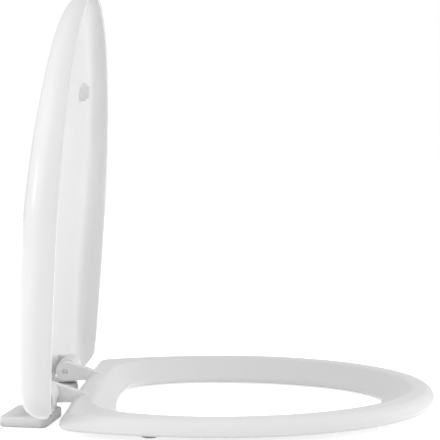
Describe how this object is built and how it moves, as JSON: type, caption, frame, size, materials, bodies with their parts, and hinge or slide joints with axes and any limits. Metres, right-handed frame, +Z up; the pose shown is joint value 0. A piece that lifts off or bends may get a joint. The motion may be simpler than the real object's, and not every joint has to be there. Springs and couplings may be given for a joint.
{
  "type": "toilet seat",
  "caption": "Soft-close toilet seat: a wrap-over lid and an oval seat ring on one damped hinge line, carried by quick-release posts on swivelling feet.",
  "frame": {"origin": "on the bowl's top face, midway between the two fixing holes", "axes": "+X along the hinge line, to the right as seen from the front, -Y to the front of the seat, +Z up from the bowl"},
  "size_m": [0.374, 0.4504, 0.4417],
  "materials": {
    "white_gloss": "glossy white moulded plastic",
    "hinge_plastic": "white moulded plastic, slightly duller than the lid",
    "soft_buffer": "pale grey translucent soft plastic",
    "damper_plastic": "natural engineering plastic",
    "rotor_plastic": "natural engineering plastic",
    "seal_rubber": "black rubber",
    "pin_steel": "turned stainless steel",
    "insert_brass": "turned brass"
  },
  "bodies": {
    "hinge": {"post_left": "hinge_plastic", "post_right": "hinge_plastic", "lid_damper_housing": "damper_plastic", "lid_damper_cap": "damper_plastic", "lid_damper_seal": "seal_rubber", "ring_damper_housing": "damper_plastic", "ring_damper_cap": "damper_plastic", "ring_damper_seal": "seal_rubber", "lid_pivot_pin": "pin_steel", "ring_pivot_pin": "pin_steel", "latch_spring_left": "pin_steel", "latch_spring_right": "pin_steel"},
    "lid": {"lid": "white_gloss", "lid_buffers": "soft_buffer", "lid_damper_rotor": "rotor_plastic", "lid_bush": "damper_plastic"},
    "ring": {"seat_ring": "white_gloss", "ring_buffers": "soft_buffer", "ring_damper_rotor": "rotor_plastic", "ring_bush": "damper_plastic"},
    "left_foot": {"foot_left": "hinge_plastic", "foot_pad_left": "soft_buffer", "spigot_left": "pin_steel", "insert_left": "insert_brass"},
    "right_foot": {"foot_right": "hinge_plastic", "foot_pad_right": "soft_buffer", "spigot_right": "pin_steel", "insert_right": "insert_brass"},
    "left_button": {"release_button_left": "hinge_plastic"},
    "right_button": {"release_button_right": "hinge_plastic"}
  },
  "joints": [
    {"name": "lid_hinge", "type": "hinge", "parent": "hinge", "child": "lid", "pos_m": [0, -0.018, 0.0255], "axis": [-1, 0, 0], "range_deg": [-86.5, 0]},
    {"name": "ring_hinge", "type": "hinge", "parent": "hinge", "child": "ring", "pos_m": [0, -0.018, 0.0255], "axis": [-1, 0, 0], "range_deg": [0, 86]},
    {"name": "left_foot_swivel", "type": "hinge", "parent": "hinge", "child": "left_foot", "pos_m": [-0.08035, -0.018, 0], "axis": [0, 0, -1], "range_deg": [-15, 10]},
    {"name": "right_foot_swivel", "type": "hinge", "parent": "hinge", "child": "right_foot", "pos_m": [0.08035, -0.018, 0], "axis": [0, 0, 1], "range_deg": [-15, 10]},
    {"name": "left_release", "type": "slide", "parent": "hinge", "child": "left_button", "axis": [1, 0, 0], "range_m": [0, 0.004], "stiffness_N_per_m": 600, "deforming": ["latch_spring_left"]},
    {"name": "right_release", "type": "slide", "parent": "hinge", "child": "right_button", "axis": [-1, 0, 0], "range_m": [0, 0.004], "stiffness_N_per_m": 600, "deforming": ["latch_spring_right"]}
  ]
}
